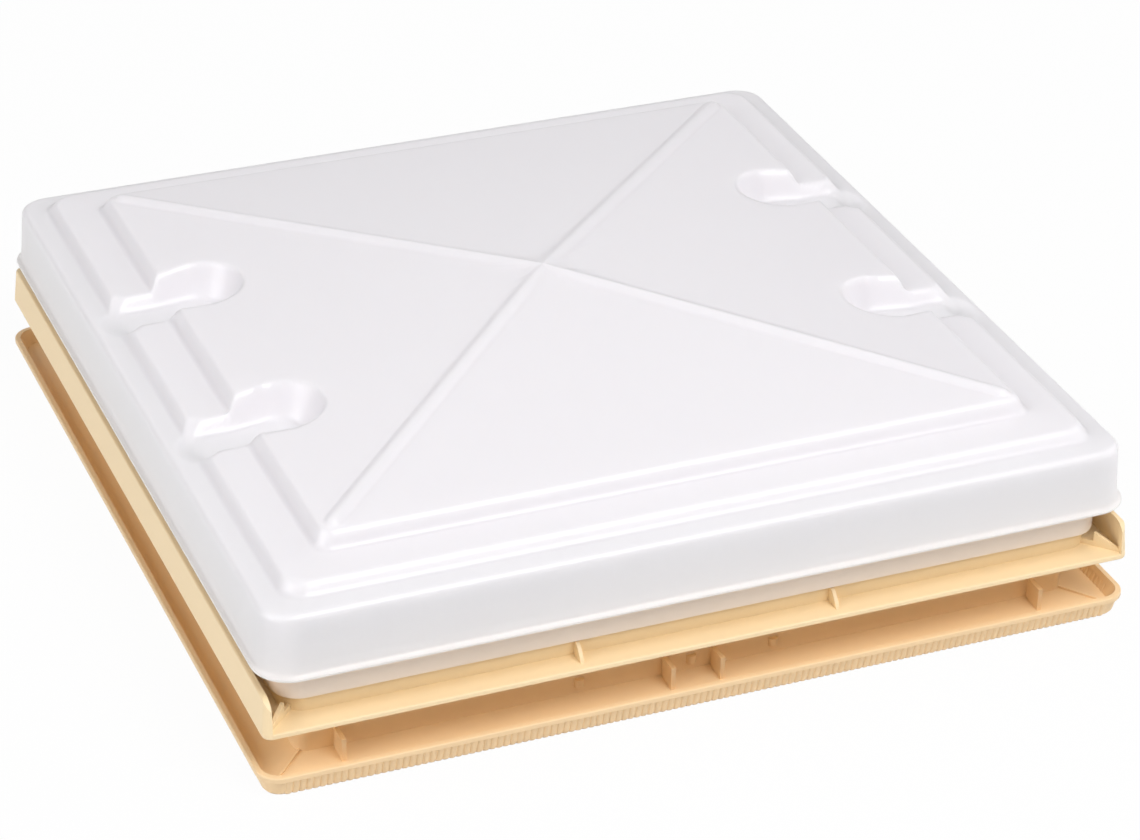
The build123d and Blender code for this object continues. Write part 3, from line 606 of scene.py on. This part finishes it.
class HATCH_OT_metal(bpy.types.Operator):
    """Finish the screws, pins, bows and spring clips in zinc-plated steel"""

    bl_idname = "hatch.metal"
    bl_label = "Metal"

    def execute(self, context):
        zinc = context.scene.hatch_colours.zinc
        finish = new_finish("zinc_plate")
        cloud = finish.noise(120.0)
        material = finish.plastic(
            Base_Color=finish.mix(cloud, rgba(zinc), scaled(zinc, 0.86)),
            Roughness=0.26 + 0.14 * cloud,
            Metallic=1.0,
        )
        names = ["frame_screws", "keeper_screws", "stay_clip_screws", "bracket_screws", "flyscreen_clips"]
        for part in ("hinge_pins", "guide_screws", "button_screws", "stay_bow"):
            names += [f"{side}_{part}" for side in SIDES]
        dress(material, *names)
        return {"FINISHED"}


class HATCH_OT_seal(bpy.types.Operator):
    """Finish the wiper in matt rubber"""

    bl_idname = "hatch.seal"
    bl_label = "Wiper seal"

    def execute(self, context):
        rubber = context.scene.hatch_colours.rubber
        finish = new_finish("black_rubber")
        bloom = finish.noise(60.0)
        material = finish.plastic(
            Base_Color=finish.mix(bloom, rgba(rubber), raised(rubber, 0.025)),
            Roughness=0.7 + 0.15 * bloom,
        )
        dress(material, "weather_seal")
        return {"FINISHED"}


class HATCH_OT_net(bpy.types.Operator):
    """Weave the flyscreen's fine net across the solid one's space"""

    bl_idname = "hatch.net"
    bl_label = "Flyscreen net"

    def execute(self, context):
        tint = context.scene.hatch_colours.net
        finish = new_finish("net_thread")
        twist = finish.noise(1500.0, detail=1.0)
        material = finish.plastic(
            Base_Color=finish.mix(twist, rgba(tint), raised(tint, 0.04)),
            Roughness=0.6 + 0.2 * twist,
        )
        net = self.weave(context.scene.hatch_net)
        net.data.materials.append(material)
        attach(net, "frame")
        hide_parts("flyscreen_net")
        return {"FINISHED"}

    def weave(self, sizes):
        """Straight threads both ways, one layer over the other, as thin prisms."""
        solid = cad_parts["flyscreen_net"]
        corners = [solid.matrix_world @ Vector(corner) for corner in solid.bound_box]
        reach = max(corner.x for corner in corners)
        level = sum(corner.z for corner in corners) / len(corners)
        count = int((reach - sizes.edge) / sizes.pitch)
        rise = CROSSING * sizes.thread
        loom = bmesh.new()
        for turned, height in ((False, level + rise), (True, level - rise)):
            for step in range(-count, count + 1):
                place = step * sizes.pitch
                self.lay_thread(loom, turned, place, height, reach - sizes.edge / 2, sizes.thread / 2)
        return shown("fine_net", moulded("fine_net", loom))

    def lay_thread(self, loom, turned, place, height, reach, radius):
        """One thread along X, or along Y when turned."""
        ends = []
        for along in (-reach, reach):
            section = []
            for side in range(THREAD_SIDES):
                turn = side * 2 * math.pi / THREAD_SIDES
                x, y = along, place + radius * math.cos(turn)
                if turned:
                    x, y = -y, x
                section.append(loom.verts.new((x, y, height + radius * math.sin(turn))))
            ends.append(section)
        start, stop = ends
        for side in range(THREAD_SIDES):
            loom.faces.new((start[side - 1], start[side], stop[side], stop[side - 1]))
        loom.faces.new(reversed(start))
        loom.faces.new(stop)


class HATCH_OT_studio(bpy.types.Operator):
    """Set up the floor, the lights, the sky and the camera"""

    bl_idname = "hatch.studio"
    bl_label = "Studio"

    def execute(self, context):
        scene = context.scene
        studio = scene.hatch_studio
        self.lay_floor()
        self.light_sky(scene, studio.sky)
        for name, (size, spot) in LIGHTS.items():
            self.hang_light(name, getattr(studio, name), size, spot)
        self.set_camera(scene, studio)
        scene.view_settings.view_transform = "Standard"
        return {"FINISHED"}

    def lay_floor(self):
        """A pale floor that stays white to the eye and keeps the object's shadow."""
        mesh = bpy.data.meshes.new("floor")
        reach = FLOOR_REACH
        corners = [(-reach, -reach, 0.0), (reach, -reach, 0.0), (reach, reach, 0.0), (-reach, reach, 0.0)]
        mesh.from_pydata(corners, [], [(0, 1, 2, 3)])
        floor = shown("floor", mesh)
        finish = new_finish("floor_paint")
        rays = finish.node("ShaderNodeLightPath")
        seen = rays.out("Is Camera Ray") + rays.out("Is Glossy Ray") + rays.out("Is Transmission Ray")
        paint = finish.node("ShaderNodeBsdfDiffuse", {}, {"Color": FLOOR_GREY}).out()
        glow = finish.node("ShaderNodeEmission", {}, {"Color": WHITE, "Strength": 1.0}).out()
        mesh.materials.append(finish.close(finish.blend(FLOOR_GLOW * seen.clamped(), paint, glow)))

    def light_sky(self, scene, strength):
        """An even sky: soft light on the object, plain white to the eye."""
        scene.world = bpy.data.worlds.new("sky")
        finish = Finish(scene.world, "ShaderNodeOutputWorld")
        seen = finish.node("ShaderNodeLightPath").out("Is Camera Ray")
        soft = finish.node("ShaderNodeBackground", {}, {"Color": WHITE, "Strength": strength}).out()
        plain = finish.node("ShaderNodeBackground", {}, {"Color": WHITE, "Strength": 1.0}).out()
        finish.close(finish.blend(seen, soft, plain))

    def hang_light(self, name, watts, size, spot):
        """A square soft light at a spot, turned towards the hatch."""
        lamp = bpy.data.lights.new(name, "AREA")
        lamp.energy = watts
        lamp.size = size
        holder = shown(name, lamp)
        holder.location = spot
        holder.rotation_euler = (-holder.location).to_track_quat("-Z", "Y").to_euler()

    def set_camera(self, scene, studio):
        """The photograph's viewpoint."""
        lens = bpy.data.cameras.new("camera")
        lens.lens = studio.lens
        lens.sensor_width = FILM_WIDTH_MM
        lens.clip_end = VIEW_END
        camera = shown("camera", lens)
        turn = Matrix.Rotation(studio.yaw, 4, "Z")
        tilt = Matrix.Rotation(math.pi / 2 - studio.pitch, 4, "X")
        lean = Matrix.Rotation(studio.roll, 4, "Z")
        camera.matrix_world = Matrix.Translation(studio.spot) @ turn @ tilt @ lean
        scene.camera = camera


OPERATORS = (
    HATCH_OT_dome,
    HATCH_OT_liner,
    HATCH_OT_frames,
    HATCH_OT_fittings,
    HATCH_OT_metal,
    HATCH_OT_seal,
    HATCH_OT_net,
    HATCH_OT_studio,
)


class HATCH_PT_panel(bpy.types.Panel):
    """Roof hatch"""

    bl_idname = "HATCH_PT_panel"
    bl_label = "Roof hatch"
    bl_space_type = "VIEW_3D"
    bl_region_type = "UI"
    bl_category = "Roof hatch"

    def draw(self, context):
        for operator in OPERATORS:
            self.layout.operator(operator.bl_idname)


CLASSES = (HatchColours, HatchDome, HatchNet, HatchStudio) + OPERATORS + (HATCH_PT_panel,)


def register():
    for item in CLASSES:
        bpy.utils.register_class(item)
    bpy.types.Scene.hatch_colours = bpy.props.PointerProperty(type=HatchColours)
    bpy.types.Scene.hatch_dome = bpy.props.PointerProperty(type=HatchDome)
    bpy.types.Scene.hatch_net = bpy.props.PointerProperty(type=HatchNet)
    bpy.types.Scene.hatch_studio = bpy.props.PointerProperty(type=HatchStudio)


def unregister():
    del bpy.types.Scene.hatch_studio
    del bpy.types.Scene.hatch_net
    del bpy.types.Scene.hatch_dome
    del bpy.types.Scene.hatch_colours
    for item in reversed(CLASSES):
        bpy.utils.unregister_class(item)


def main():
    register()
    bpy.ops.hatch.dome()
    bpy.ops.hatch.liner()
    bpy.ops.hatch.frames()
    bpy.ops.hatch.fittings()
    bpy.ops.hatch.metal()
    bpy.ops.hatch.seal()
    bpy.ops.hatch.net()
    bpy.ops.hatch.studio()


if __name__ == "__main__":
    main()
